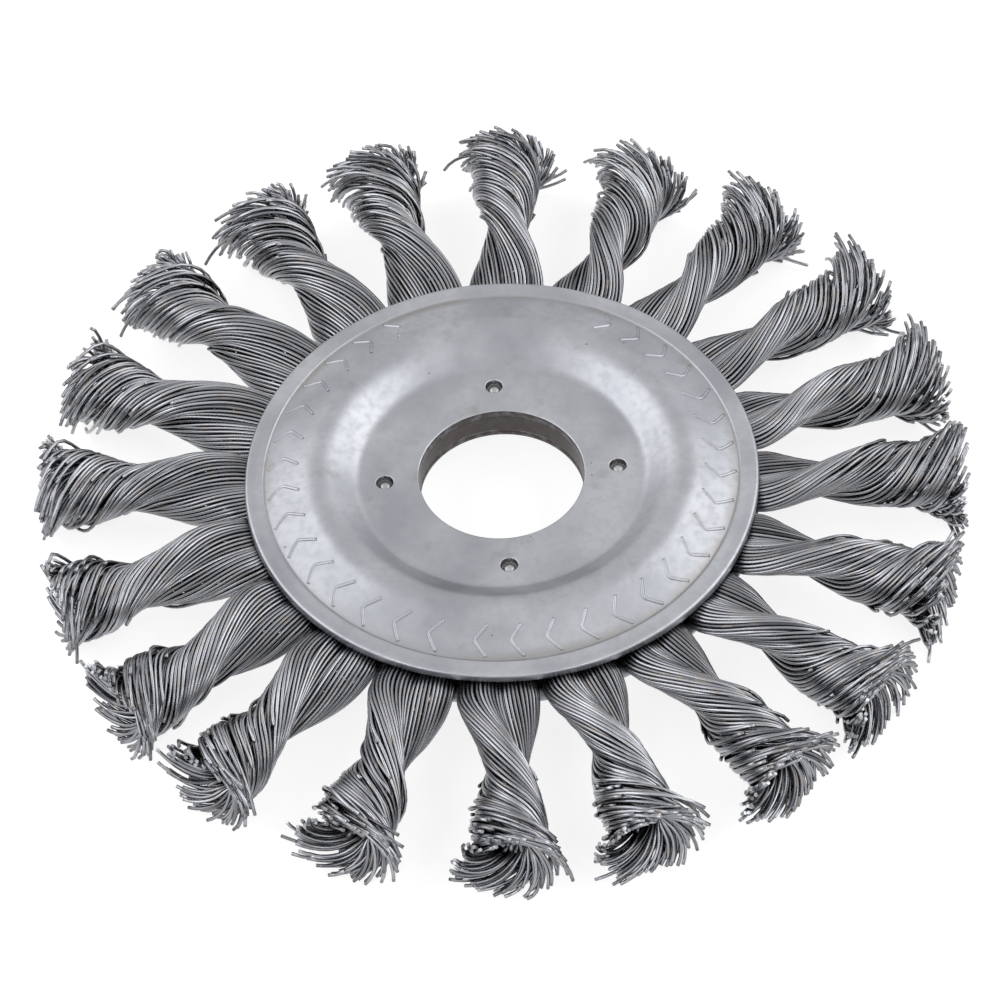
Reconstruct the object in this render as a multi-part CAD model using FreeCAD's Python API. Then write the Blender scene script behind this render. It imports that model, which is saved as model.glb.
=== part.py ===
import FreeCAD, Part
import math
import os

from FreeCAD import Vector

# Twist-knot wire wheel for an angle grinder. Millimetres.
# The origin is the centre of the bore at mid thickness, and +Z runs along the bore.
# Two pressed side plates clamp a carrier disc, and four pins hold the stack together.
# Each knot is a bundle of steel wires, folded through a hole of the disc and twisted.

# The wheel as a whole
wheel_d = 125.0  # circle through the wire tips
bore_d = 22.23  # arbor hole through plates and disc
bore_chamfer = 0.25
knot_count = 20

# Carrier disc between the plates
disc_inset = 7.15  # its edge lies this far inside the plates' rim
disc_t = 2.6
hole_d = 5.0  # punched hole that takes one folded bundle
hole_web = 1.0  # steel left between a hole and the edge of the disc

# Pressed side plates, measured over the outer face
plate_d = 69.3
plate_t = 1.2
lip_w = 2.05  # flat lip round the rim
lip_h = 0.65  # height of the lip over the flat face round the bore
band_w = 8.4  # radial length of the slope from the lip up to the crown
crown_h = 3.2  # height of the crown's corner over the flat face
crown_bend = 5.0  # outer bend radius over the crown
rise_w = 4.8  # radial length of the slope from the crown down to the flat face

# Pins through plates and disc
pin_count = 4
pin_turn = 4.5  # the first pin stands this many degrees on from the first knot
pin_d = 2.0
pin_place = 0.56  # how far out on the flat face the pins stand, from bore to foot of the rise
pin_fit = 0.05  # air round a pin in its holes
pin_recess = 0.5  # a pin's end lies this far below the flat face

# Where the wires lie on the disc and under the plates
loop_w = 6.0  # width of a leg at the edge of the disc
loop_gap = 0.15  # air round the bundle in its hole
seat_gap = 0.05  # air between wires and the steel that they lie on
knot_gap = 0.3  # air between two knots outside the rim

# Outside the plates: sizes across both legs, and through one leg
root_out = 1.4  # the legs lie side by side this far outside the plates' rim
root_t = 4.4
cross_place = 0.36  # where the legs cross, as a share of the way from rim to tips
cross_w = 9.6
cross_t = 5.3
throat_place = 0.59  # where the knot is slimmest all round
throat_w = 7.8
throat_t = 7.0
tip_w = 16.0  # splayed wire tips
tip_t = 13.2
splay = 1.2  # over 1, a knot opens slowly after the throat and faster towards its tips
cup_depth = 4.0  # hollow in the middle of the splayed tips
cup_floor = 0.35  # size of the hollow's floor, as a share of the tips

# Turning of the two legs round each other, in degrees
root_turn = 90.0  # from over and under the disc to side by side
cross_turn = 60.0  # from the root to the crossing
throat_turn = 70.0  # from there to the throat
tip_turn = 230.0  # from the throat to the tips
cup_turn = 60.0  # the wire ends swirl on round the hollow

# Section of a knot: two legs of three strands, with a crease between the legs
strands = 3
crease = 0.64  # the crease's place, as a share of the way out to the strands
groove = 0.92  # the grooves' place between two strands of a leg
cross_steps = 4  # sections from the root to the crossing
throat_steps = 3  # sections from there to the throat
tip_steps = 7  # sections from the throat to the tips

bore_r = bore_d / 2
plate_r = plate_d / 2
wheel_r = wheel_d / 2
lip_r = plate_r - lip_w
crown_r = lip_r - band_w
hub_r = crown_r - rise_w  # the grinder's flanges clamp the flat face inside this
pin_circle_r = bore_r + (hub_r - bore_r) * pin_place
disc_r = plate_r - disc_inset
flat_z = disc_t / 2 + plate_t
hole_circle_r = disc_r - hole_web - hole_d / 2
bundle_r = hole_d / 2 - loop_gap
knot_pitch = 360.0 / knot_count
root_r = plate_r + root_out
cross_r = plate_r + (wheel_r - plate_r) * cross_place
throat_r = plate_r + (wheel_r - plate_r) * throat_place
centre = Vector(0, 0, 0)
up = Vector(0, 0, 1)


def shifted(before, corner, after, distance):
    """A corner of a line, moved so that both its sides move down by distance."""
    u = (corner - before).normalize()
    v = (after - corner).normalize()
    side = Vector(u.z, 0, -u.x)
    way = (side + Vector(v.z, 0, -v.x)).normalize()
    return corner + way * (distance / way.dot(side))


def rounded(before, corner, after, radius):
    """Start, middle and end of the arc that rounds a corner."""
    u = (before - corner).normalize()
    v = (after - corner).normalize()
    half = u.getAngle(v) / 2
    cut = radius / math.tan(half)
    middle = corner + (u + v).normalize() * (radius / math.sin(half) - radius)
    return corner + u * cut, middle, corner + v * cut


def outer_face():
    """Corners of the front plate's outer face: bore, foot and top of the rise, lip, rim."""
    return [
        Vector(bore_r, 0, flat_z),
        Vector(hub_r, 0, flat_z),
        Vector(crown_r, 0, flat_z + crown_h),
        Vector(lip_r, 0, flat_z + lip_h),
        Vector(plate_r, 0, flat_z + lip_h),
    ]


def inner_face():
    """The same corners on the plate's inner face, one sheet lower."""
    face = outer_face()
    drop = Vector(0, 0, plate_t)
    bends = [shifted(face[i - 1], face[i], face[i + 1], plate_t) for i in (1, 2, 3)]
    return [face[0] - drop] + bends + [face[4] - drop]


def crown_arc(corners, radius):
    return rounded(corners[1], corners[2], corners[3], radius)


def plate_section():
    outer = outer_face()
    inner = inner_face()
    outer_arc = crown_arc(outer, crown_bend)
    inner_arc = crown_arc(inner, crown_bend - plate_t)
    lead = outer[0] + Vector(bore_chamfer, 0, 0)
    wall = outer[0] - Vector(0, 0, bore_chamfer)
    edges = [
        Part.makeLine(lead, outer[1]),
        Part.makeLine(outer[1], outer_arc[0]),
        Part.Arc(*outer_arc).toShape(),
        Part.makeLine(outer_arc[2], outer[3]),
        Part.makeLine(outer[3], outer[4]),
        Part.makeLine(outer[4], inner[4]),
        Part.makeLine(inner[4], inner[3]),
        Part.makeLine(inner[3], inner_arc[2]),
        Part.Arc(*reversed(inner_arc)).toShape(),
        Part.makeLine(inner_arc[0], inner[1]),
        Part.makeLine(inner[1], inner[0]),
        Part.makeLine(inner[0], wall),
        Part.makeLine(wall, lead),
    ]
    return Part.Face(Part.Wire(edges))


def round_bars(diameter, half_length, circle_r, count, first):
    """Upright round bars on a circle round the bore, the first one at an angle in degrees."""
    bars = []
    for i in range(count):
        angle = math.radians(first + 360.0 / count * i)
        foot = Vector(circle_r * math.cos(angle), circle_r * math.sin(angle), -half_length)
        bars.append(Part.makeCylinder(diameter / 2, 2 * half_length, foot))
    return Part.makeCompound(bars)


def pin_bars(diameter, half_length):
    return round_bars(diameter, half_length, pin_circle_r, pin_count, pin_turn)


def front_plate():
    plate = plate_section().revolve(centre, up, 360)
    return plate.cut(pin_bars(pin_d + 2 * pin_fit, flat_z))


def back_plate():
    return front_plate().mirror(centre, up)


def carrier_disc():
    foot = Vector(0, 0, -disc_t / 2)
    disc = Part.makeCylinder(disc_r, disc_t, foot).cut(Part.makeCylinder(bore_r, disc_t, foot))
    disc = disc.cut(round_bars(hole_d, disc_t / 2, hole_circle_r, knot_count, 0))
    return disc.cut(pin_bars(pin_d + 2 * pin_fit, disc_t / 2))


def stake_pins():
    return pin_bars(pin_d, flat_z - pin_recess)


def room_under_plate(x):
    """Height of the wires' upper side between the disc's edge and the lip."""
    inner = inner_face()
    start = crown_arc(inner, crown_bend - plate_t)[2]
    share = (x - start.x) / (inner[3].x - start.x)
    return start.z + (inner[3].z - start.z) * share - seat_gap


def root_width():
    """A knot's width at its root, where it all but touches its neighbours."""
    half_pitch = math.radians(knot_pitch / 2)
    return 2 * root_r * math.tan(half_pitch) - knot_gap


def leg_ring():
    """Corners of both legs' section in a circle of radius 1, with the legs left and right."""
    per_leg = 2 * strands
    ring = []
    for i in range(2 * per_leg):
        reach = 1.0 if i % 2 else groove
        if i % per_leg == 0:
            reach = crease
        angle = math.radians(180.0 * i / per_leg + 90.0)
        ring.append((reach * math.cos(angle), reach * math.sin(angle)))
    return ring


def squeezed_ring(x, wide, high, turn):
    """A section between the plates: the legs turn, then are pressed into the room there."""
    back = math.radians(90.0 - turn)
    ring = []
    for u, v in leg_ring():
        y = u * math.cos(back) - v * math.sin(back)
        z = u * math.sin(back) + v * math.cos(back)
        ring.append(Vector(x, wide / 2 * y, high / 2 * z))
    return ring


def free_ring(x, wide, thick, turn):
    """A section outside the plates: the legs keep their shape as they turn."""
    back = math.radians(90.0 - turn)
    ring = []
    for u, v in leg_ring():
        across = wide / 2 * u
        through = thick / 2 * v
        y = across * math.cos(back) - through * math.sin(back)
        z = across * math.sin(back) + through * math.cos(back)
        ring.append(Vector(x, y, z))
    return ring


def rings_in_plates():
    """Sections from the disc's edge to the plates' rim."""
    start = disc_r + seat_gap
    end_x = inner_face()[3].x
    rings = []
    for x in (start, (start + end_x) / 2, end_x, plate_r):
        share = (x - start) / (root_r - start)
        wide = loop_w + (root_width() - loop_w) * share
        high = 2 * room_under_plate(min(x, end_x))
        rings.append(squeezed_ring(x, wide, high, root_turn * share))
    return rings


def rings_between(low, high, steps, power):
    """Sections from one named section up to the next, each as distance, width, thickness, turn."""
    rings = []
    for i in range(steps):
        share = i / steps
        opening = share**power
        x = low[0] + (high[0] - low[0]) * share
        wide = low[1] + (high[1] - low[1]) * opening
        thick = low[2] + (high[2] - low[2]) * opening
        rings.append(free_ring(x, wide, thick, low[3] + (high[3] - low[3]) * share))
    return rings


def facet(*corners):
    return Part.Face(Part.makePolygon(list(corners) + [corners[0]]))


def band(low, high):
    """Flat facets between two sections."""
    facets = []
    for i in range(len(low)):
        j = (i + 1) % len(low)
        facets.append(facet(low[i], low[j], high[j]))
        facets.append(facet(low[i], high[j], high[i]))
    return facets


def twisted_legs():
    """Both legs from the disc's edge to the tips, which end on the wheel's circle."""
    turn = root_turn
    root = (root_r, root_width(), root_t, turn)
    turn += cross_turn
    cross = (cross_r, cross_w, cross_t, turn)
    turn += throat_turn
    throat = (throat_r, throat_w, throat_t, turn)
    turn += tip_turn
    tips = (wheel_r, tip_w, tip_t, turn)
    rings = rings_in_plates()
    rings += rings_between(root, cross, cross_steps, 1.0)
    rings += rings_between(cross, throat, throat_steps, 1.0)
    rings += rings_between(throat, tips, tip_steps, splay)
    rings.append(free_ring(*tips))
    for tip in rings[-1]:
        tip.x = math.sqrt(wheel_r**2 - tip.y**2)
    floor_turn = turn + cup_turn
    rings.append(free_ring(wheel_r - cup_depth, tip_w * cup_floor, tip_t * cup_floor, floor_turn))
    facets = [facet(*rings[0]), facet(*rings[-1])]
    for low, high in zip(rings, rings[1:]):
        facets += band(low, high)
    return Part.Solid(Part.makeShell(facets))


def leg_on_disc():
    """The upper leg between disc and plate, from the fold at the hole to the disc's edge."""
    inner = inner_face()
    crown_start, _, crown_end = crown_arc(inner, crown_bend - plate_t)
    fold_x = hole_circle_r - bundle_r
    end_x = disc_r + 2 * seat_gap
    low_z = disc_t / 2 + seat_gap
    rise = (crown_start.z - inner[1].z) / (crown_start.x - inner[1].x)
    fall_x = math.sqrt(crown_end.x**2 - bundle_r**2)  # the flat leg's edges meet the fall first
    side = facet(
        Vector(fold_x, 0, low_z),
        Vector(fold_x, 0, inner[1].z + rise * (fold_x - inner[1].x) - seat_gap),
        Vector(crown_start.x, 0, crown_start.z - seat_gap),
        Vector(fall_x, 0, crown_end.z - seat_gap),
        Vector(end_x, 0, room_under_plate(math.hypot(end_x, bundle_r))),
        Vector(end_x, 0, low_z),
    )
    side.translate(Vector(0, -bundle_r, 0))
    return side.extrude(Vector(0, 2 * bundle_r, 0))


def bar_in_hole():
    """The folded wires where they pass through the disc, as a bar with eight sides."""
    half = disc_t / 2 + 2 * seat_gap
    corners = []
    for i in range(8):
        angle = math.radians(45.0 * i + 22.5)
        x = hole_circle_r + bundle_r * math.cos(angle)
        corners.append(Vector(x, bundle_r * math.sin(angle), -half))
    return facet(*corners).extrude(Vector(0, 0, 2 * half))


def knot():
    upper = leg_on_disc()
    lower = upper.mirror(centre, up)
    return twisted_legs().multiFuse([upper, lower, bar_in_hole()]).removeSplitter()


os.makedirs("parts", exist_ok=True)
front_plate().exportStep("parts/front_plate.step")
back_plate().exportStep("parts/back_plate.step")
carrier_disc().exportStep("parts/carrier_disc.step")
stake_pins().exportStep("parts/stake_pins.step")
first_knot = knot()
for k in range(knot_count):
    turned = first_knot.copy()
    turned.rotate(centre, up, knot_pitch * k)
    turned.exportStep("parts/knot_%02d.step" % (k + 1))
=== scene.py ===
import math

import bpy
import numpy as np
from mathutils import Matrix, Vector


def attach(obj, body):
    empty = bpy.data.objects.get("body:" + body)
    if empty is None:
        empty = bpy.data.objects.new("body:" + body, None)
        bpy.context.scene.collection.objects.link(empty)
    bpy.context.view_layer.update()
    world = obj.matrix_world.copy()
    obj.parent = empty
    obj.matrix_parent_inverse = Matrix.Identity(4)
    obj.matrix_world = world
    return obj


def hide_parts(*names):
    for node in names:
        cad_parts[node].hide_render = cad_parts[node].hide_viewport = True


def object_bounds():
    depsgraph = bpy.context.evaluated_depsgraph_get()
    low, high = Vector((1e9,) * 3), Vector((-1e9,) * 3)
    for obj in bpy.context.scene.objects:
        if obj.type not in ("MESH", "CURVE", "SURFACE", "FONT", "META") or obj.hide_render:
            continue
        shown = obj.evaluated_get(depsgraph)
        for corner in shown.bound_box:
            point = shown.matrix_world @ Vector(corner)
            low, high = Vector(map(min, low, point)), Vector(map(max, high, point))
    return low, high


# Twist-knot wire wheel: every wire of the twenty knots, the two pressed plates, disc and pins.
# Metres. The wheel lies flat, its bore along Z and knot_01 on the +X side.

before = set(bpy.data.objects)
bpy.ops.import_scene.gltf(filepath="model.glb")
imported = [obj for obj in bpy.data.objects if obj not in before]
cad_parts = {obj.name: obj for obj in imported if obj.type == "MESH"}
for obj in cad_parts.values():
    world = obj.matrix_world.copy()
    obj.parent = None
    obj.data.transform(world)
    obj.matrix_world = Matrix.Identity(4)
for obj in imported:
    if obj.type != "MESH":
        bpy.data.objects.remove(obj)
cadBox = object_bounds()
scene = bpy.context.scene
print("frame loaded:", len(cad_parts), "nodes")

wheel = {
    "knots": 20,
    "halfHeight": cadBox[1].z,  # the splayed tips reach this far up and down, and carry the wheel
    "softHeight": 0.0010,  # wires that would pass that height bend back over this depth
    "azimuth": 3.4,  # the photographed wheel lies turned by this many degrees
}


def degrees(a):
    # an angle of that many degrees, in radians
    return a * math.pi / 180


def turnedAboutZ(points, angle):
    # x' = x cos - y sin, y' = x sin + y cos
    c, s = math.cos(angle), math.sin(angle)
    x, y, z = points[..., 0], points[..., 1], points[..., 2]
    return np.stack([x * c - y * s, x * s + y * c, z], -1)


def ease(t):
    # 0 below 0, 1 above 1, and 3t^2 - 2t^3 between
    t = np.clip(t, 0, 1)
    return t * t * (3 - 2 * t)


def ramp(x, placeAndLength):
    # eases from 0 at the place to 1 after the length
    place, length = placeAndLength
    return ease((x - place) / length)


def through(x, places, values):
    # smooth curve through the values: cubic pieces whose slopes are weighted means of the
    # slopes on both sides, and zero where the values turn back
    places, values = np.asarray(places, float), np.asarray(values, float)
    step = np.diff(places)
    slope = np.diff(values) / step
    inner = np.where(slope[:-1] * slope[1:] > 0,
                     2 * slope[:-1] * slope[1:] / (slope[:-1] + slope[1:] + 1e-30), 0)
    tangent = np.concatenate([[slope[0]], inner, [slope[-1]]])
    i = np.clip(np.searchsorted(places, x) - 1, 0, len(step) - 1)
    t = (x - places[i]) / step[i]
    return ((2 * t**3 - 3 * t**2 + 1) * values[i] + (t**3 - 2 * t**2 + t) * step[i] * tangent[i]
            + (3 * t**2 - 2 * t**3) * values[i + 1] + (t**3 - t**2) * step[i] * tangent[i + 1])


def newMesh(name, points, faces, material, flatFaces=0):
    # one piece from its points and faces; the last flatFaces faces are shaded flat
    mesh = bpy.data.meshes.new(name)
    mesh.from_pydata(points.reshape(-1, 3).tolist(), [], faces)
    smooth = np.ones(len(faces), bool)
    if flatFaces:
        smooth[-flatFaces:] = False
    mesh.polygons.foreach_set("use_smooth", smooth)
    mesh.update()
    piece = bpy.data.objects.new(name, mesh)
    scene.collection.objects.link(piece)
    mesh.materials.append(material)
    return piece


def nodeTree(name):
    # a new material, its node tree and its shader
    material = bpy.data.materials.new(name)
    material.use_nodes = True
    tree = material.node_tree
    return material, tree, tree.nodes["Principled BSDF"]


def addNode(tree, kind, **settings):
    # a new node with its settings
    node = tree.nodes.new(kind)
    for key, value in settings.items():
        setattr(node, key, value)
    return node


def joined(tree, value, socket):
    # a socket is linked, anything else is set as the value
    if isinstance(value, bpy.types.NodeSocket):
        tree.links.new(value, socket)
    else:
        socket.default_value = value


def mixColour(tree, factor, a, b):
    # a where the factor is 0, b where it is 1
    node = addNode(tree, "ShaderNodeMix", data_type="RGBA")
    for socket, value in ((node.inputs[0], factor), (node.inputs[6], a), (node.inputs[7], b)):
        joined(tree, value, socket)
    return node.outputs[2]


def mapRange(tree, value, fromMin, fromMax, toMin, toMax):
    # from one range to another along a straight line, held at both ends
    node = addNode(tree, "ShaderNodeMapRange")
    for key, v in (("Value", value), ("From Min", fromMin), ("From Max", fromMax),
                   ("To Min", toMin), ("To Max", toMax)):
        joined(tree, v, node.inputs[key])
    return node.outputs["Result"]


def maths(tree, operation, a, b=0.0):
    # one operation on two numbers or sockets
    node = addNode(tree, "ShaderNodeMath", operation=operation)
    joined(tree, a, node.inputs[0])
    joined(tree, b, node.inputs[1])
    return node.outputs[0]


def noise(tree, place, scale, detail, roughness=0.5):
    # clouds from 0 to 1, about that many to the metre
    node = addNode(tree, "ShaderNodeTexNoise")
    joined(tree, place, node.inputs["Vector"])
    for key, value in (("Scale", scale), ("Detail", detail), ("Roughness", roughness)):
        node.inputs[key].default_value = value
    return node.outputs["Fac"]


def streaks(tree, place, scales, turn):
    # noise drawn out along one direction
    node = addNode(tree, "ShaderNodeMapping")
    joined(tree, place, node.inputs["Vector"])
    node.inputs["Scale"].default_value = scales
    node.inputs["Rotation"].default_value = (0, 0, degrees(turn))
    return noise(tree, node.outputs["Vector"], 1, 2)


# Materials
wireLook = {
    "dark": (0.10, 0.104, 0.116, 1),
    "bright": (0.44, 0.45, 0.48, 1),
    "brown": (0.33, 0.29, 0.26, 1),
    "paintedShade": (0.020, 0.019, 0.020, 1),  # painted shade between the wires
    "roughness": 0.25,
    "duller": (-0.06, 0.10),  # added to the roughness, from clean to dull patches
    "fleck": 620,  # patches per metre along the wires
    "brownFrom": (0.52, 0.72),
    "brownAmount": 0.55,
    "paintedShadeFrom": (0.12, 0.68),  # of the painted shade attribute, from none to full
    "paintedShadeAmount": 0.92,
}

# the group's inputs
plateLook = {
    "Deep": (0.305, 0.315, 0.342, 1),
    "Light": (0.415, 0.425, 0.452, 1),
    "Stain": (0.255, 0.243, 0.235, 1),
    # painted shade on the bore's wall and in the recesses over the pins, and also the colour of
    # the pits
    "Pits And Painted Shade": (0.078, 0.070, 0.067, 1),
    "Stain Amount": 0.45,
    # how much painted shade lies in the recesses over the pins
    "Painted Recess Shade": 0.92,
    "Roughness": 0.40,
}

discLook = dict(plateLook, **{"Deep": (0.10, 0.095, 0.09, 1), "Light": (0.20, 0.19, 0.185, 1),
                              "Painted Recess Shade": 0.0, "Roughness": 0.44})

pinLook = dict(plateLook, **{"Deep": (0.30, 0.305, 0.32, 1), "Light": (0.46, 0.465, 0.48, 1),
                             "Stain Amount": 0.2, "Painted Recess Shade": 0.0, "Roughness": 0.36})

# scales per metre, the part of each noise that shows, where the dirt lies, and where painted shade
# darkens the recesses and the bore's wall
sheetDetail = {
    "clouds": 95,
    "cloudFrom": (0.34, 0.66),
    "mottle": 900,
    "mottleFrom": (0.45, 0.68),
    "mottleAmount": 0.40,
    "stains": 240,
    "stainFrom": (0.58, 0.72),
    "pits": 330,
    "pitEdge": (0.03, 0.06),
    "pitFields": 130,
    "fieldFrom": (0.53, 0.58),
    "pitAmount": 0.7,
    "valley": ((0.0305, 0.0319), (0.0321, 0.0323)),  # radii over which it begins and ends
    "valleyPatches": (0.42, 0.60),
    "valleyAmount": (0.15, 0.8),
    "recessHeight": (0.00245, 0.00236),
    "recessRadius": (0.0180, 0.0178),
    # radii over which the painted shade on the bore's wall begins
    "boreShadeRadius": (0.01122, 0.01116),
    "turningMarks": 5200,  # radians of ring pattern per metre
    "scratches": (160, 3600, 400),
    "scratchTurn": 32,
    "bump": 0.30,
    "bumpDepth": 0.00004,
}


def sheetSteelGroup(detail):
    # satin pressed sheet: cloudy tone, mottling, stains, pits, scratches, and painted shade on the
    # bore's wall and in the recesses over the pins
    group = bpy.data.node_groups.new("sheet steel surface", "ShaderNodeTree")
    for label, value in plateLook.items():
        kind = "NodeSocketColor" if isinstance(value, tuple) else "NodeSocketFloat"
        group.interface.new_socket(label, in_out="INPUT", socket_type=kind)
    for label, kind in (("Colour", "NodeSocketColor"), ("Roughness", "NodeSocketFloat"),
                        ("Normal", "NodeSocketVector")):
        group.interface.new_socket(label, in_out="OUTPUT", socket_type=kind)
    given = group.nodes.new("NodeGroupInput").outputs
    made = group.nodes.new("NodeGroupOutput").inputs

    place = addNode(group, "ShaderNodeTexCoord").outputs["Object"]
    axes = addNode(group, "ShaderNodeSeparateXYZ")
    joined(group, place, axes.inputs[0])
    fromAxis = maths(group, "SQRT", maths(
        group, "ADD", maths(group, "MULTIPLY", axes.outputs[0], axes.outputs[0]),
        maths(group, "MULTIPLY", axes.outputs[1], axes.outputs[1])))

    clouds = noise(group, place, detail["clouds"], 5, 0.55)
    mottle = noise(group, place, detail["mottle"], 3)
    colour = mixColour(group, mapRange(group, clouds, *detail["cloudFrom"], 0, 1),
                       given["Deep"], given["Light"])
    colour = mixColour(group, mapRange(group, mottle, *detail["mottleFrom"],
                                       0, detail["mottleAmount"]), colour, given["Deep"])
    stains = mapRange(group, noise(group, place, detail["stains"], 6, 0.62),
                      *detail["stainFrom"], 0, 1)
    colour = mixColour(group, maths(group, "MULTIPLY", stains, given["Stain Amount"]),
                       colour, given["Stain"])
    cells = addNode(group, "ShaderNodeTexVoronoi")
    joined(group, place, cells.inputs["Vector"])
    cells.inputs["Scale"].default_value = detail["pits"]
    fields = noise(group, place, detail["pitFields"], 1)
    spots = mapRange(group, cells.outputs["Distance"], *detail["pitEdge"], 1, 0)
    pits = maths(group, "MULTIPLY", spots,
                 mapRange(group, fields, *detail["fieldFrom"], 0, detail["pitAmount"]))
    colour = mixColour(group, pits, colour, given["Pits And Painted Shade"])
    # dirt lies in the valley inside the lip
    begins, ends = detail["valley"]
    valley = maths(group, "MULTIPLY", mapRange(group, fromAxis, *begins, 0, 1),
                   mapRange(group, fromAxis, *ends, 1, 0))
    valley = maths(group, "MULTIPLY", valley,
                   mapRange(group, clouds, *detail["valleyPatches"], *detail["valleyAmount"]))
    colour = mixColour(group, valley, colour, given["Stain"])
    # painted shade: the bore's wall and the recesses over the pins are darkened, unevenly
    # following the mottling
    height = maths(group, "ABSOLUTE", axes.outputs[2])
    recess = maths(group, "MULTIPLY", mapRange(group, height, *detail["recessHeight"], 0, 1),
                   mapRange(group, fromAxis, *detail["recessRadius"], 0, 1))
    dark = maths(group, "MAXIMUM", mapRange(group, fromAxis, *detail["boreShadeRadius"], 0, 1),
                 maths(group, "MULTIPLY", recess, given["Painted Recess Shade"]))
    dark = maths(group, "MULTIPLY", dark, mapRange(group, mottle, 0.45, 0.75, 1, 0.6))
    joined(group, mixColour(group, dark, colour, given["Pits And Painted Shade"]), made["Colour"])

    uneven = maths(group, "ADD", mapRange(group, clouds, 0.3, 0.7, -0.05, 0.06),
                   mapRange(group, mottle, 0.4, 0.7, -0.03, 0.05))
    joined(group, maths(group, "ADD", given["Roughness"], uneven), made["Roughness"])

    rings = addNode(group, "ShaderNodeCombineXYZ")
    joined(group, maths(group, "MULTIPLY", fromAxis, detail["turningMarks"]), rings.inputs[0])
    heights = maths(group, "ADD", streaks(group, place, detail["scratches"],
                                          detail["scratchTurn"]),
                    maths(group, "MULTIPLY", noise(group, rings.outputs[0], 1, 2), 0.5))
    heights = maths(group, "ADD", heights, maths(group, "MULTIPLY", mottle, 0.9))
    heights = maths(group, "SUBTRACT", heights, maths(group, "MULTIPLY", pits, 2.0))
    bump = addNode(group, "ShaderNodeBump")
    bump.inputs["Strength"].default_value = detail["bump"]
    bump.inputs["Distance"].default_value = detail["bumpDepth"]
    joined(group, heights, bump.inputs["Height"])
    joined(group, bump.outputs["Normal"], made["Normal"])
    return group


def sheetMaterial(name, group, look):
    # one steel with the shared surface and its own tones
    material, tree, shader = nodeTree(name)
    surface = addNode(tree, "ShaderNodeGroup", node_tree=group)
    for label, value in look.items():
        surface.inputs[label].default_value = value
    for label, socket in (("Colour", "Base Color"), ("Roughness", "Roughness"),
                          ("Normal", "Normal")):
        tree.links.new(surface.outputs[label], shader.inputs[socket])
    shader.inputs["Metallic"].default_value = 1
    return material


def wireMaterial(look):
    # drawn steel: each wire has its own tone, and patches of it are browner and duller; painted
    # shade darkens the sides of the wires that face the knot's middle
    material, tree, shader = nodeTree("wire steel")
    tone = addNode(tree, "ShaderNodeAttribute", attribute_name="tone")
    place = addNode(tree, "ShaderNodeTexCoord").outputs["Object"]
    patches = noise(tree, place, look["fleck"], 3)
    steel = mixColour(tree, tone.outputs["Fac"], look["dark"], look["bright"])
    steel = mixColour(tree, mapRange(tree, patches, *look["brownFrom"], 0, look["brownAmount"]),
                      steel, look["brown"])
    # painted shade on the sides of the wires that face the knot's middle, where the wires touch
    paintedShade = addNode(tree, "ShaderNodeAttribute", attribute_name="paintedShade").outputs["Fac"]
    paintedShade = mapRange(tree, paintedShade, *look["paintedShadeFrom"], 0, look["paintedShadeAmount"])
    joined(tree, mixColour(tree, paintedShade, steel, look["paintedShade"]), shader.inputs["Base Color"])
    clean, dull = (look["roughness"] + more for more in look["duller"])
    joined(tree, mapRange(tree, patches, 0.3, 0.7, clean, dull), shader.inputs["Roughness"])
    shader.inputs["Metallic"].default_value = 1
    return material


wireSteel = wireMaterial(wireLook)
sheetSteel = sheetSteelGroup(sheetDetail)
plateSteel = sheetMaterial("plate steel", sheetSteel, plateLook)
discSteel = sheetMaterial("disc steel", sheetSteel, discLook)
pinSteel = sheetMaterial("pin steel", sheetSteel, pinLook)
print("materials ready")

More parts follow.
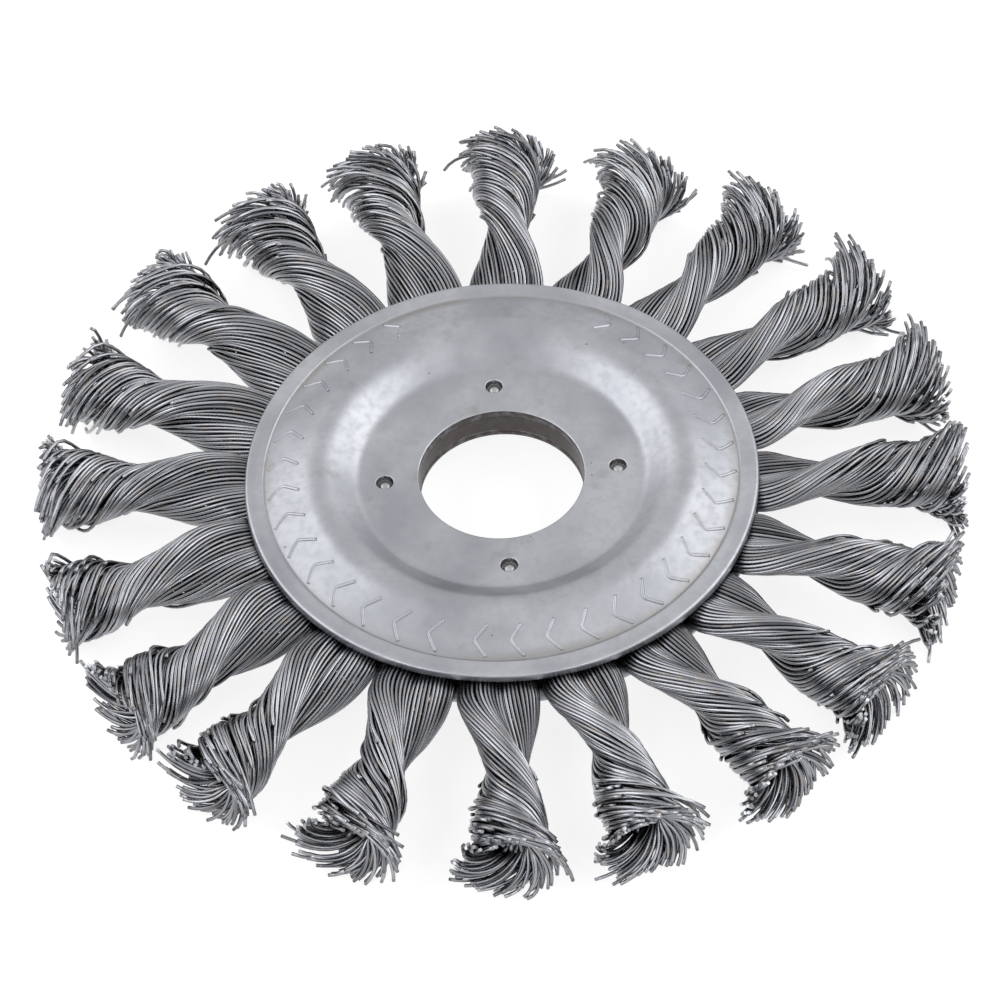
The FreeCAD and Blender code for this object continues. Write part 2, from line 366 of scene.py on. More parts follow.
# Twist knots
knot = {
    # sections at the lip, root, crossing, throat, flare, mouth and tips
    "places": (0.0330, 0.0361, 0.0447, 0.0511, 0.0570, 0.0600, 0.0625),
    "widths": (0.0100, 0.0109, 0.0094, 0.0086, 0.0110, 0.0128, 0.0154),  # across both legs
    "thicks": (0.0037, 0.0047, 0.0060, 0.0074, 0.0096, 0.0112, 0.0130),  # through one leg
    "turns": (0.0, 8.0, 64.0, 134.0, 242.0, 298.0, 350.0),
    "creases": (0.50, 0.46, 0.36, 0.16, 0.08, 0.05, 0.02),  # depth between the legs, as a share
    "creaseSpread": 0.36,  # half width of the crease, in radians
    "wireRadius": 0.00025,
    # wires, start, stations and sides of each ring from the outside in; the last is the bundle
    "rings": ((44, 0.0330, 35, 6), (26, 0.0330, 22, 5), (26, 0.0490, 19, 5), (22, 0.0520, 19, 5),
              (18, 0.0520, 18, 5), (26, 0.0500, 5, 5)),
    "ringDepth": 0.00045,
    "setBack": 0.00025,  # each ring ends this much short of the ring inside it
    "hollowPlace": 0.0570,  # from here on the wires spread out by up to the share below
    "hollow": 0.04,
    "leastReach": 0.08,  # of half the thickness, for the inner wires
    # inner rings stay in the core and then fan out over the end in a swirl: where each of them
    # starts to, and how far out it ends
    "fan": {2: (0.0582, 0.95), 3: (0.0588, 0.93), 4: (0.0593, 0.90)},
    "fanUneven": (0.90, 1.06),
    "fanBend": 1.25,  # more than 1 leaves the core more slowly
    "core": 0.26,  # how much the core narrows under the fan
    # the bundle in the middle ends inside the swirl, and is spread by the golden turn
    "bundle": {"ring": 5, "end": 0.0576, "uneven": 0.0011, "radius": 0.00175, "turn": 0.618},
    # where each of these begins, and over which length
    "coreFrom": (0.0530, 0.0055),
    "splayFrom": (0.0535, 0.0090),
    "looseFrom": (0.0400, 0.0200),
    "crowdedFrom": (0.0415, 0.0090),  # every fourth outer wire sinks under its neighbours
    "circleFrom": (0.0450, 0.0175),  # the wires follow the wheel's circle
    "swayLength": 0.0180,  # a leaning knot leans over this length from its root
    # how the knots differ
    "seed": 4100,
    "shift": 0.0006,  # of the sections along the knot, times the next values
    "shiftBy": (0, 0.4, 1, 1, 0.4, 0.4, 0),
    "spin": 8,  # degrees, beyond the root
    "lean": (0.0009, 0.00025),  # sideways and up
    "grow": 0.03,  # share of the section
    # how single wires end and leave the twist
    "endSpread": 0.0006,
    "cutShort": (0.54, 0.45, 0, 0, 0, 0),  # share of each ring's wires that are cut unevenly
    "cutDepth": 0.0044,
    "endEarly": 0.20,  # share of the outer wires that end well short of the tips
    "earlyDepth": (0.0025, 0.0105),
    "earlyOut": 0.13,  # those ends stand out of the side, over the next length
    "earlyLength": 0.0022,
    "closer": (0.86, 0.55),  # power that packs the stations, in common and in fanned rings
    "drift": ((4, 0.0080), (7, 0.0065), (11, 0.0045)),  # waves round the knot, and how far
    "driftAlong": 120,  # radians per metre
    "driftBy": (0.15, 1.5),  # under the plates, and added at the tips
    "wanderBy": (0.05, 0.45),  # in wire pitches, under the plates and added where loose
    "wanderLengths": (0.011, 0.023),
    "bulgeBy": (0.012, 0.060),  # share of the radius, under the plates and added at the tips
    "bulgeLengths": (0.009, 0.017),
    "lifted": (0.13, 0.05),  # share of wires that lift off, in the outer ring and inside
    "liftPlace": (0.046, 0.060),
    "liftLength": 0.0028,
    "liftOut": 0.16,
    "liftAside": 0.8,  # in wire pitches
    "stray": 0.20,  # share of wires whose ends stray
    "strayBy": (0.05, 0.45),
    "strayFrom": (0.0555, 0.0085),
    "strayLag": 1.1,  # radians behind the twist for a stray of 1
    "tone": (0.60, 0.24),  # mean and spread
    # how much of its tone a wire of each ring keeps, under the plates and at the tips: painted
    # shade darkens the inner rings and the bundle
    "toneKeptInShade": ((1, 0.90), (0.5, 0.88), (0.5, 0.88), (0.5, 0.88), (0.5, 0.88), (0.25, 0.25)),
    "tipsFrom": (0.0550, 0.0050),
    "shadeLostAtTips": 0.88,  # share of the painted shade that the tips lose
}


def randomWaves(rng, count, x, lengths):
    # smooth random course along x for each wire: a sum of sines with random phases
    total = np.zeros_like(x)
    for length in lengths:
        phase = rng.uniform(0, 2 * math.pi, (count, 1))
        total += rng.normal(0, 0.6, (count, 1)) * np.sin(2 * math.pi * x / length + phase)
    return total


def anglesRound(shape, rows=64, corners=361, columns=181):
    # table of outline angles by distance from the axis (rows) and by share of the way round
    # (columns): lengths along each section's outline are summed, then read backwards
    x = np.linspace(shape["places"][0], shape["places"][-1], rows)
    a = np.linspace(0, 2 * math.pi, corners)
    wide, thick = (through(x, shape["places"], shape[key])[:, None] / 2 - shape["wireRadius"]
                   for key in ("widths", "thicks"))
    dip = creaseDip(shape, x[:, None], a[None, :])
    steps = np.hypot(np.diff(wide * dip * np.cos(a)), np.diff(thick * dip * np.sin(a)))
    lengths = np.concatenate([np.zeros((rows, 1)), np.cumsum(steps, 1)], 1)
    lengths /= lengths[:, -1:]
    shares = np.linspace(0, 1, columns)
    return x, np.array([np.interp(shares, row, a) for row in lengths])


def creaseDip(shape, x, a):
    # 1 on the legs, less in the two creases between them
    fromCrease = np.arccos(np.clip(np.abs(np.sin(a)), 0, 1))
    return 1 - through(x, shape["places"], shape["creases"]) * np.exp(
        -(fromCrease / shape["creaseSpread"]) ** 2)


def angleAt(table, x, share):
    # reads the table between its rows and columns
    rows, angles = table
    turns, share = np.floor(share), share % 1
    i = np.clip((x - rows[0]) / (rows[1] - rows[0]), 0, len(rows) - 1.001)
    j = share * (angles.shape[1] - 1)
    low, left = i.astype(int), j.astype(int)
    fi, fj = i - low, j - left
    right = np.minimum(left + 1, angles.shape[1] - 1)
    return 2 * math.pi * turns + (
        (angles[low, left] * (1 - fj) + angles[low, right] * fj) * (1 - fi)
        + (angles[low + 1, left] * (1 - fj) + angles[low + 1, right] * fj) * fi)


def heldInside(z, limit):
    # heights near the limit are pressed together, so that no wire passes it
    soft = wheel["softHeight"]
    over = np.maximum(np.abs(z) - (limit - soft), 0)
    return np.sign(z) * (np.minimum(np.abs(z), limit - soft) + soft * np.tanh(over / soft))


def wireEnds(shape, rng, ring):
    # where each wire ends and which of them stop early: the circle of the tips, less a spread,
    # an uneven cut and the ring's own set back
    count = shape["rings"][ring][0]
    short = np.abs(rng.normal(0, shape["endSpread"], count)) - shape["endSpread"] / 2
    cut = rng.random(count) < shape["cutShort"][ring]
    short = short + cut * rng.uniform(0, shape["cutDepth"], count)
    early = (rng.random(count) < shape["endEarly"]) * (ring == 0)
    short = short + early * rng.uniform(*shape["earlyDepth"], count)
    end = shape["places"][-1] - short - shape["setBack"] * (max(shape["fan"]) - ring)
    bundle = shape["bundle"]
    if ring == bundle["ring"]:
        end = bundle["end"] + rng.normal(0, bundle["uneven"], count)
    return end[:, None], early[:, None]


def wireShares(shape, rng, ring, x):
    # share of the way round for each wire, and how far it is sunk: even steps, of which every
    # fourth outer one sinks between its neighbours where the steep twist leaves less room;
    # then groups of wires drift together, and each wire wanders a little
    count = shape["rings"][ring][0]
    number = np.arange(count)[:, None]
    share = number / count + np.zeros_like(x)
    sunk = np.zeros_like(x)
    if ring == 0:
        crowded = ramp(x, shape["crowdedFrom"])
        group, member = number // 4, number % 4
        inGroup = np.where(member < 3, member / 3, 5 / 6)
        share = share * (1 - crowded) + (group + inGroup) * 4 / count * crowded
        sunk = (member == 3) * crowded
    share = share + rng.uniform(0, 1) / count
    under, added = shape["driftBy"]
    driftBy = under + added * ramp(x, shape["splayFrom"])
    for waves, amount in shape["drift"]:
        phase = rng.uniform(0, 2 * math.pi)
        share = share + amount * driftBy * np.sin(
            2 * math.pi * waves * share + phase + x * shape["driftAlong"])
    under, added = shape["wanderBy"]
    wanderBy = (under + added * ramp(x, shape["looseFrom"]) ** 2) / count
    share = share + wanderBy * randomWaves(rng, count, x, shape["wanderLengths"])
    if ring == shape["bundle"]["ring"]:
        share = number * shape["bundle"]["turn"] + np.zeros_like(x)
    return share, sunk


def wireReach(shape, rng, ring, x, end, wide, thick, sunk):
    # how far out each wire lies, as shares of half the width and half the thickness: one minus
    # its depth, then for a fanned ring a blend from the narrowed core to its far place, and for
    # the bundle equal areas of a disc
    count = shape["rings"][ring][0]
    bundle = shape["bundle"]
    if ring == bundle["ring"]:
        fromMiddle = bundle["radius"] * np.sqrt((np.arange(count)[:, None] + 0.5) / count)
        return fromMiddle / wide, fromMiddle / thick
    depth = shape["wireRadius"] + shape["ringDepth"] * (ring + sunk)
    opened = (x - shape["hollowPlace"]) / (shape["places"][-1] - shape["hollowPlace"])
    hollow = shape["hollow"] * ease(opened)
    reachU = hollow + (1 - hollow) * (1 - depth / wide)
    reachV = hollow + (1 - hollow) * np.clip(1 - depth / thick, shape["leastReach"], 1)
    if ring in shape["fan"]:
        place, far = shape["fan"][ring]
        far = far * rng.uniform(*shape["fanUneven"], (count, 1))
        narrow = 1 - shape["core"] * ramp(x, shape["coreFrom"])
        spread = np.clip((x - place) / (end - place), 0, 1) ** shape["fanBend"]
        reachU = reachU * narrow + (far - reachU * narrow) * spread
        reachV = reachV * narrow + (far - reachV * narrow) * spread
    return reachU, reachV


def wirePaths(shape, table, rng, ring, lean, grow):
    # centre lines of one ring of wires, as wires by stations by xyz, with the knot along +X;
    # a wire keeps its share of the way round the section while the section turns and opens
    count, start, stations, _ = shape["rings"][ring]
    end, early = wireEnds(shape, rng, ring)
    t = np.linspace(0, 1, stations)[None, :] ** shape["closer"][ring in shape["fan"]]
    x = start + (end - start) * t
    share, sunk = wireShares(shape, rng, ring, x)
    grown = 1 + grow * ramp(x, shape["looseFrom"])
    wide = through(x, shape["places"], shape["widths"]) / 2 * grown
    thick = through(x, shape["places"], shape["thicks"]) / 2 * grown
    reachU, reachV = wireReach(shape, rng, ring, x, end, wide, thick, sunk)

    # radial unevenness, small under the plates and larger at the tips
    under, added = shape["bulgeBy"]
    bulge = 1 + (under + added * ramp(x, shape["splayFrom"])) * randomWaves(
        rng, count, x, shape["bulgeLengths"])
    # loose wires lift off, mostly near the tips
    lifted = rng.random((count, 1)) < shape["lifted"][ring > 0]
    liftPlace = rng.uniform(*shape["liftPlace"], (count, 1))
    lift = lifted * np.exp(-((x - liftPlace) / shape["liftLength"]) ** 2)
    share = share + shape["liftAside"] / count * lift
    stray = rng.random((count, 1)) < shape["stray"]
    stray = stray * rng.uniform(*shape["strayBy"], (count, 1)) * ramp(x, shape["strayFrom"])
    earlyEnd = early * ease(1 - (end - x) / shape["earlyLength"])
    bulge = bulge + shape["liftOut"] * lift + stray + shape["earlyOut"] * earlyEnd

    a = angleAt(table, x, share)
    out = creaseDip(shape, x, a) * bulge
    u = wide * reachU * out * np.cos(a)
    v = thick * reachV * out * np.sin(a)
    turn = np.radians(through(x, shape["places"], shape["turns"])) - shape["strayLag"] * stray
    sway = ease((x - shape["places"][1]) / shape["swayLength"])
    y = u * np.cos(turn) + v * np.sin(turn) + lean[0] * sway
    z = -u * np.sin(turn) + v * np.cos(turn) + lean[1] * sway
    # tips end on the wheel's circle
    x = np.sqrt(np.maximum(x**2 - y**2 * ramp(x, shape["circleFrom"]), 0))
    return np.stack([x, y, z], -1)


def tubes(paths, radius, sides):
    # round wires: a ring of points about each station, square to the path
    count, stations, _ = paths.shape
    along = np.gradient(paths, axis=1)
    along /= np.linalg.norm(along, axis=-1, keepdims=True)
    out = paths * np.array([0.0, 1.0, 1.0]) + np.array([0.0, 0.0, 1e-7])
    out -= along * (out * along).sum(-1, keepdims=True)
    out /= np.linalg.norm(out, axis=-1, keepdims=True)
    side = np.cross(along, out)
    a = 2 * math.pi * np.arange(sides) / sides
    rings = (out[:, :, None, :] * np.cos(a)[:, None] + side[:, :, None, :] * np.sin(a)[:, None])
    points = paths[:, :, None, :] + radius * rings

    first = np.arange(count)[:, None, None] * stations * sides
    level = np.arange(stations - 1)[None, :, None] * sides
    i = np.arange(sides)[None, None, :]
    j = (i + 1) % sides
    low, high = first + level, first + level + sides
    quads = np.stack([low + i, low + j, high + j, high + i], -1).reshape(-1, 4)
    base = (np.arange(count) * stations * sides)[:, None]
    starts = base + np.arange(sides)[::-1][None, :]
    ends = base + (stations - 1) * sides + np.arange(sides)[None, :]
    return points, quads, np.concatenate([starts, ends])


def wireShades(shape, rng, ring, paths):
    # tone and painted shade at each point of a ring's tubes: a wire has one random tone, inner
    # wires are darkened by painted shade, and painted shade lies on the sides that face the
    # middle, less of it at the tips
    count, _, _, sides = shape["rings"][ring]
    wireTone = np.clip(rng.normal(*shape["tone"], count), 0, 1)
    atTips = ramp(paths[:, :, 0], shape["tipsFrom"])[:, :, None]
    # painted shade: inner rings and the bundle keep less of their tone
    under, tipped = shape["toneKeptInShade"][ring]
    tone = wireTone[:, None, None] * (under + (tipped - under) * atTips) * np.ones(sides)
    # painted shade: none on the side that faces out of the knot, full on the side that faces its
    # middle
    inside = (1 - np.cos(2 * math.pi * np.arange(sides) / sides)) / 2
    return tone.ravel(), (inside * (1 - shape["shadeLostAtTips"] * atTips)).ravel()


def knotPiece(index):
    # one knot: its sections shift, turn, lean and grow a little by chance, its rings of wires
    # follow them, and it is turned to its own place round the wheel
    rng = np.random.default_rng(knot["seed"] + index)
    shape = dict(knot)
    shift = rng.normal(0, shape["shift"])
    shape["places"] = tuple(p + shift * by for p, by in zip(shape["places"], shape["shiftBy"]))
    spin = rng.normal(0, shape["spin"])
    shape["turns"] = tuple(v + spin * (i > 1) for i, v in enumerate(shape["turns"]))
    lean = [rng.normal(0, by) for by in shape["lean"]]
    grow = rng.normal(0, shape["grow"])
    table = anglesRound(shape)
    points, faces, caps, tones, paintedShades = [], [], [], [], []
    offset = 0
    for ring, (_, _, _, sides) in enumerate(shape["rings"]):
        paths = wirePaths(shape, table, rng, ring, lean, grow)
        paths[..., 2] = heldInside(paths[..., 2], wheel["halfHeight"] - shape["wireRadius"])
        tube, quads, ends = tubes(paths, shape["wireRadius"], sides)
        tone, paintedShade = wireShades(shape, rng, ring, paths)
        tones.append(tone)
        paintedShades.append(paintedShade)
        points.append(tube.reshape(-1, 3))
        faces += (quads + offset).tolist()
        caps += (ends + offset).tolist()
        offset += len(points[-1])
    points = turnedAboutZ(np.concatenate(points), degrees(360 / wheel["knots"]) * index)
    name = "knot_%02d" % (index + 1)
    piece = newMesh("wires_%02d" % (index + 1), points, faces + caps, wireSteel, len(caps))
    for label, values in (("tone", tones), ("paintedShade", paintedShades)):
        attribute = piece.data.attributes.new(label, "FLOAT", "POINT")
        attribute.data.foreach_set("value", np.concatenate(values).astype(np.float32))
    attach(piece, "root")
    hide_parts(name)
    return piece


for k in range(wheel["knots"]):
    lastKnot = knotPiece(k)
print("knots:", wheel["knots"], "of", sum(len(p.vertices) - 2 for p in lastKnot.data.polygons),
      "triangles")

# Pressed plates
plate = {
    "bore": 0.011115,
    "hub": 0.0194,  # foot of the rise
    "crown": 0.0242,
    "valley": 0.0320,  # lowest line of the band, just inside the lip
    "lip": 0.03226,
    "rim": 0.03465,
    "flat": 0.0025,  # height of the flat face
    "crownHeight": 0.0032,
    "lipHeight": 0.00066,
    "valleyDepth": 0.00016,  # below the lip
    "sheet": 0.0012,
    "crownSheet": 1.08,  # height of the sheet at the crown, in sheet thicknesses
    "chamfer": 0.00025,
    "crownBend": 0.0050,
    "smallBend": 0.0024,
    "pinTurn": 4.5,  # degrees from knot_01 to the first pin
    "pinPlace": 0.56,  # share of the way from the bore to the foot of the rise
    "recess": 0.00102,  # radius and depth of the recesses over the pins
    "recessDepth": 0.00090,
    "recessEdge": 0.00016,
    "burr": (0.00003, 0.00022, 0.00010),  # height of a recess's raised edge, place and spread
    "columns": {"front": 540, "back": 320},
    "spacing": {"front": 0.00035, "back": 0.0008, "pins": 0.00012},  # of the rows
    "nearPins": 0.0013,  # rows stand closer this far on both sides of the pins' circle
    "crowding": 0.14,  # and columns this much, in radians
    # waves of the pressed sheet in x and y, their phase and weight, and of the rim round it
    "ripple": 0.00001,
    "ripples": ((520, 310, 1.0, 1), (-410, 640, 2.4, 1), (930, 150, 0.3, 0.6)),
    "ripplesFrom": (0.0115, 0.0020),
    "rimWave": 0.00005,
    "rimWaves": ((3, 0.6, 1), (7, 2.1, 0.7)),
    "rimFrom": (0.0305, 0.0040),
}
plate["pinCircle"] = plate["bore"] + (plate["hub"] - plate["bore"]) * plate["pinPlace"]


def roundedProfile(corners, radii, steps):
    # straight runs joined by tangent arcs: each inner corner is replaced by points on its arc
    points = [np.array(corners[0])]
    for i in range(1, len(corners) - 1):
        p, radius = np.array(corners[i]), radii[i]
        u = np.array(corners[i - 1]) - p
        v = np.array(corners[i + 1]) - p
        u, v = u / np.linalg.norm(u), v / np.linalg.norm(v)
        half = math.acos(np.clip(u @ v, -1, 1)) / 2
        if radius <= 0 or half > 1.56:  # a plain or a nearly straight corner
            points.append(p)
            continue
        middle = p + (u + v) / np.linalg.norm(u + v) * radius / math.sin(half)
        first = p + u * radius / math.tan(half) - middle
        last = p + v * radius / math.tan(half) - middle
        sweep = math.acos(np.clip(first @ last / radius**2, -1, 1))
        for s in np.linspace(0, 1, steps[i]):
            w = (first * math.sin((1 - s) * sweep) + last * math.sin(s * sweep)) / math.sin(sweep)
            points.append(middle + w)
    points.append(np.array(corners[-1]))
    return np.array(points)


def resampled(points, spacing, fineFrom, fineTo):
    # points along the same line, about spacing apart, closer between two radii
    out = [points[0]]
    for a, b in zip(points[:-1], points[1:]):
        fine = a[0] > fineFrom - 1e-6 and b[0] < fineTo + 1e-6
        step = plate["spacing"]["pins"] if fine else spacing
        parts = max(1, int(round(np.linalg.norm(b - a) / step)))
        for i in range(1, parts + 1):
            out.append(a + (b - a) * i / parts)
    return np.array(out)


def plateProfile(p, spacing):
    # closed section from the bore's wall over the outer face and rim, back along the inner face
    flat, sheet = p["flat"], p["sheet"]
    lip = flat + p["lipHeight"]
    fineFrom, fineTo = p["pinCircle"] - p["nearPins"], p["pinCircle"] + p["nearPins"]
    # radius, height, bend and steps of the bend at each corner
    outer = [
        (p["bore"], flat - sheet, 0, 0),
        (p["bore"], flat, p["chamfer"], 4),
        (fineFrom, flat, 0, 0),
        (fineTo, flat, 0, 0),
        (p["hub"], flat, p["smallBend"], 9),
        (p["crown"], flat + p["crownHeight"], p["crownBend"], 20),
        (p["valley"], lip - p["valleyDepth"], 0.0004, 5),
        (p["lip"], lip, 0.00014, 4),
        (p["lip"] + 0.0010, lip - 0.00007, 0.0045, 4),
        (p["rim"], lip - 0.00001, 0.00045, 6),
        (p["rim"], lip - sheet, 0, 0),
    ]
    inner = [
        (p["rim"], lip - sheet, 0, 0),
        (p["lip"] + 0.0002, lip - sheet, 0.0011, 4),
        (p["crown"], flat + p["crownHeight"] - sheet * p["crownSheet"], p["crownBend"] - sheet, 8),
        (p["hub"] + 0.0004, flat - sheet, p["smallBend"], 4),
        (p["bore"], flat - sheet, 0, 0),
    ]
    face, back = (roundedProfile([c[:2] for c in side], [c[2] for c in side],
                                 [c[3] for c in side]) for side in (outer, inner))
    return resampled(face, spacing, fineFrom, fineTo), back


def platePiece(name, node, up, side):
    # the profile turned round the axis, plus the recesses and waves of the sheet as heights
    face, back = plateProfile(plate, plate["spacing"][side])
    profile = np.concatenate([face, back[1:-1]])
    rows, columns = len(profile), plate["columns"][side]
    # columns stand closer together at the four pins
    even = 2 * math.pi * np.arange(columns) / columns
    around = even + degrees(plate["pinTurn"]) - plate["crowding"] * np.sin(4 * even)
    r = profile[:, 0][:, None] * np.ones(columns)
    z = profile[:, 1][:, None] * np.ones(columns)
    x, y = r * np.cos(around), r * np.sin(around)
    # recesses over the pins, each with a faint raised edge
    onFace = np.zeros(len(profile), bool)
    onFace[:len(face)] = profile[:len(face), 1] > plate["flat"] - 1e-6
    burr, burrPlace, burrSpread = plate["burr"]
    for i in range(4):
        a = degrees(plate["pinTurn"] + 90 * i)
        away = np.hypot(x - plate["pinCircle"] * math.cos(a),
                        y - plate["pinCircle"] * math.sin(a)) - plate["recess"]
        down = plate["recessDepth"] * (1 - ease(away / plate["recessEdge"]))
        raised = burr * np.exp(-((away - burrPlace) / burrSpread) ** 2)
        z = z + onFace[:, None] * (raised - down)
    # pressed sheet is never quite even, and nor is the rim
    ripples = sum(np.sin(i * x + j * y + phase) * weight
                  for i, j, phase, weight in plate["ripples"])
    z = z + plate["ripple"] * ripples * ramp(r, plate["ripplesFrom"])
    waves = sum(np.sin(n * around + phase) * weight for n, phase, weight in plate["rimWaves"])
    z = z + plate["rimWave"] * waves * ramp(r, plate["rimFrom"])
    points = np.stack([x, y, z * up], -1)
    i = np.arange(rows)[:, None]
    j = np.arange(columns)[None, :]
    nextRow, nextColumn = (i + 1) % rows, (j + 1) % columns
    quads = np.stack([i * columns + j, i * columns + nextColumn,
                      nextRow * columns + nextColumn, nextRow * columns + j], -1).reshape(-1, 4)
    if up > 0:
        quads = quads[:, ::-1]
    piece = newMesh(name, points, quads.tolist(), plateSteel)
    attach(piece, "root")
    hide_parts(node)
    print(name, "of", 2 * rows * columns, "triangles")


platePiece("front_shell", "front_plate", 1, "front")
platePiece("back_shell", "back_plate", -1, "back")

# Pins, with domed ends that stand in the plates' recesses
pin = {
    "radius": 0.00092,
    "top": 0.0020,  # height of the domes
    "dome": 0.00050,
    "steps": 7,
    "sides": 28,
}


def pinPiece():
    # a half profile from the lower tip to the upper one, turned about each pin's own axis
    bend = np.linspace(0, math.pi / 2, pin["steps"])
    r = np.concatenate([np.sin(bend), np.cos(bend)]) * pin["radius"]
    up = pin["top"] - pin["dome"] + pin["dome"] * np.sin(bend)
    z = np.concatenate([-up[::-1], up])
    sides = pin["sides"]
    around = 2 * math.pi * np.arange(sides) / sides
    tips = len(r) - 2
    body = np.stack([r[1:-1, None] * np.cos(around), r[1:-1, None] * np.sin(around),
                     z[1:-1, None] + 0 * around], -1).reshape(-1, 3)
    one = np.concatenate([body, [[0, 0, z[0]], [0, 0, z[-1]]]])
    i = np.arange(tips - 1)[:, None] * sides
    j = np.arange(sides)[None, :]
    k = (j + 1) % sides
    quads = np.stack([i + j, i + k, i + sides + k, i + sides + j], -1).reshape(-1, 4).tolist()
    last, low, high = (tips - 1) * sides, tips * sides, tips * sides + 1
    fans = [[low, int(b), int(a)] for a, b in zip(j[0], k[0])]
    fans += [[high, last + int(a), last + int(b)] for a, b in zip(j[0], k[0])]
    points, faces = [], []
    for n in range(4):
        a = degrees(plate["pinTurn"]) + n * math.pi / 2
        points.append(one + np.array([math.cos(a), math.sin(a), 0]) * plate["pinCircle"])
        faces += [[v + n * len(one) for v in face] for face in quads + fans]
    piece = newMesh("pins", np.concatenate(points), faces, pinSteel)
    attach(piece, "root")
    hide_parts("stake_pins")


pinPiece()

# Raised marks pressed into the band: plain chevrons in two rows, with a bare place between
marks = {
    "radius": 0.0294,
    "tall": 0.0042,
    "deep": 0.0017,
    "line": 0.00027,  # half the width of the raised line, before it sinks into the sheet
    "sunk": 0.00011,
    "corner": 0.012,  # larger rounds the corner more
    "stations": 21,
    "sides": 8,
    "rows": ((200, 333, 15), (32, 188, 18)),  # first and last azimuth, and how many
}


def markPiece():
    # each chevron is a round line along two strokes with a rounded corner, which is a
    # hyperbola; its middle follows the sheet's height, a little below it
    face, _ = plateProfile(plate, 0.0005)
    t = np.linspace(-1, 1, marks["stations"])
    corner = marks["corner"]
    ahead = marks["deep"] * (0.5 - np.sqrt(t**2 + corner) / math.sqrt(1 + corner))
    azimuths = np.concatenate([np.linspace(*row) for row in marks["rows"]])
    a = np.radians(90 - azimuths + wheel["azimuth"])[:, None] - ahead / marks["radius"]
    r = marks["radius"] + marks["tall"] / 2 * t + 0 * a
    z = np.interp(r, face[1:-1, 0], face[1:-1, 1]) - marks["sunk"]
    paths = np.stack([r * np.cos(a), r * np.sin(a), z], -1)
    points, quads, ends = tubes(paths, marks["line"], marks["sides"])
    piece = newMesh("marks", points, quads.tolist() + ends.tolist(), plateSteel, len(ends))
    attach(piece, "root")


markPiece()

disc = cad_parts["carrier_disc"].data
disc.materials.clear()
disc.materials.append(discSteel)
print("plates, disc, pins and marks ready")

# Floor, light and camera
view = {
    "distance": 0.4945,
    "elevation": 50.26,
    "roll": -3.42,
    "target": (-0.000405, -0.00254, 0.0),
    "lens": 132.1,
}

# name, azimuth clockwise from the far side as the photograph shows the wheel, elevation, width,
# height and watts
lamps = (
    ("left box", -76, 40, 1.1, 0.7, 3.8),
    ("right box", 78, 40, 1.1, 0.7, 4.3),
    ("front left", -140, 34, 0.22, 0.45, 1.1),
    ("front right", 150, 30, 0.22, 0.45, 1.1),
)

studio = {
    "lampDistance": 1.0,
    "floorSize": 3.0,  # half of a side
    "floorColour": (0.42, 0.42, 0.42, 1),
    "floorRoughness": 0.9,
    "glow": (0.81, 1),  # of the floor near the wheel, where its shadow lies, and further out
    "glowFrom": (0.12, 0.50),
    "sky": (0.3, 1),  # strength as light, and as seen
}


def addCamera():
    # the photograph's camera: raised by the elevation, at the distance from the target, rolled
    # about its line of sight, and turned with the wheel
    e, roll, turn = degrees(view["elevation"]), degrees(view["roll"]), degrees(wheel["azimuth"])
    back = Vector((0, -math.cos(e), math.sin(e)))
    right, up = Vector((1, 0, 0)), Vector((0, math.sin(e), math.cos(e)))
    x = right * math.cos(roll) + up * math.sin(roll)
    y = up * math.cos(roll) - right * math.sin(roll)
    axes = Matrix((x, y, back)).transposed().to_4x4()
    place = Matrix.Translation(Vector(view["target"]) + back * view["distance"]) @ axes
    camera = bpy.data.cameras.new("camera")
    camera.lens = view["lens"]
    camera.sensor_width = 36
    camera.clip_start = 0.01
    camera.clip_end = 20
    seen = bpy.data.objects.new("camera", camera)
    seen.matrix_world = Matrix.Rotation(turn, 4, "Z") @ place
    scene.collection.objects.link(seen)
    scene.camera = seen


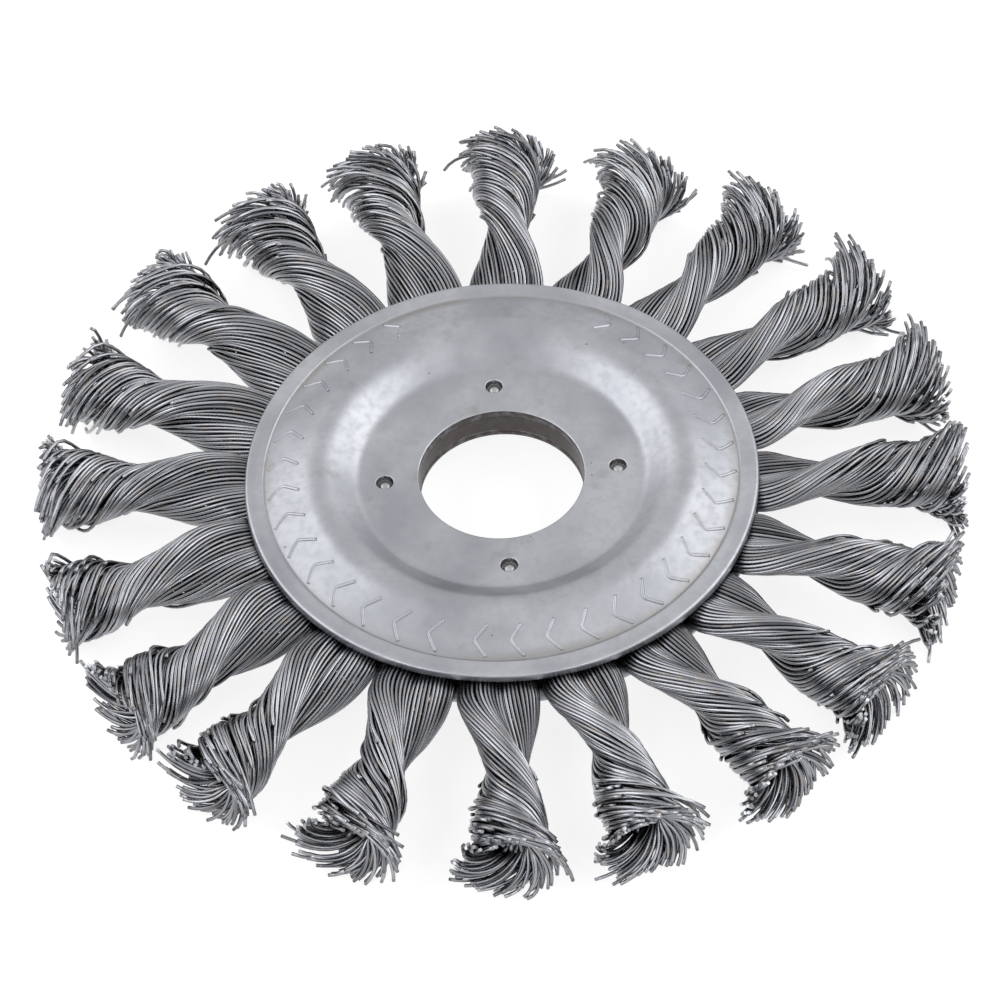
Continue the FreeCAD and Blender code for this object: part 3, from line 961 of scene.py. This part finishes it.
def addLamp(name, azimuth, elevation, width, height, power):
    # a rectangular light that faces the wheel's middle
    a, e = degrees(90 - azimuth + wheel["azimuth"]), degrees(elevation)
    way = Vector((math.cos(e) * math.cos(a), math.cos(e) * math.sin(a), math.sin(e)))
    lamp = bpy.data.lights.new(name, "AREA")
    lamp.shape = "RECTANGLE"
    lamp.size, lamp.size_y = width, height
    lamp.energy = power
    holder = bpy.data.objects.new(name, lamp)
    holder.location = way * studio["lampDistance"]
    holder.rotation_euler = way.to_track_quat("Z", "Y").to_euler()
    scene.collection.objects.link(holder)


def seenDirectly(tree):
    # 1 for what the camera sees, also in metal and through glass
    path = addNode(tree, "ShaderNodeLightPath").outputs
    either = maths(tree, "MAXIMUM", path["Is Camera Ray"], path["Is Glossy Ray"])
    return maths(tree, "MAXIMUM", either, path["Is Transmission Ray"])


def addFloor():
    # a square under the tips, which glows where it is seen
    material, tree, shader = nodeTree("floor")
    shader.inputs["Base Color"].default_value = studio["floorColour"]
    shader.inputs["Roughness"].default_value = studio["floorRoughness"]
    shader.inputs["Specular IOR Level"].default_value = 0.0
    shader.inputs["Emission Color"].default_value = (1, 1, 1, 1)
    # the shadow lies on the floor about the wheel, and further out the floor is plain white
    away = addNode(tree, "ShaderNodeVectorMath", operation="LENGTH")
    joined(tree, addNode(tree, "ShaderNodeTexCoord").outputs["Object"], away.inputs[0])
    glow = mapRange(tree, away.outputs["Value"], *studio["glowFrom"], *studio["glow"])
    joined(tree, maths(tree, "MULTIPLY", seenDirectly(tree), glow),
           shader.inputs["Emission Strength"])
    size, z = studio["floorSize"], -wheel["halfHeight"]
    points = np.array([(-size, -size, z), (size, -size, z), (size, size, z), (-size, size, z)])
    newMesh("floor", points, [[0, 1, 2, 3]], material, 1)


def addWorld():
    # white all round, weaker as light than as seen
    world = bpy.data.worlds.new("studio")
    scene.world = world
    world.use_nodes = True
    tree = world.node_tree
    background = tree.nodes["Background"]
    joined(tree, mapRange(tree, seenDirectly(tree), 0, 1, *studio["sky"]),
           background.inputs["Strength"])
    background.inputs["Color"].default_value = (1, 1, 1, 1)


addCamera()
addFloor()
addWorld()
for lamp in lamps:
    addLamp(*lamp)
scene.view_settings.view_transform = "Standard"
print("stage ready")
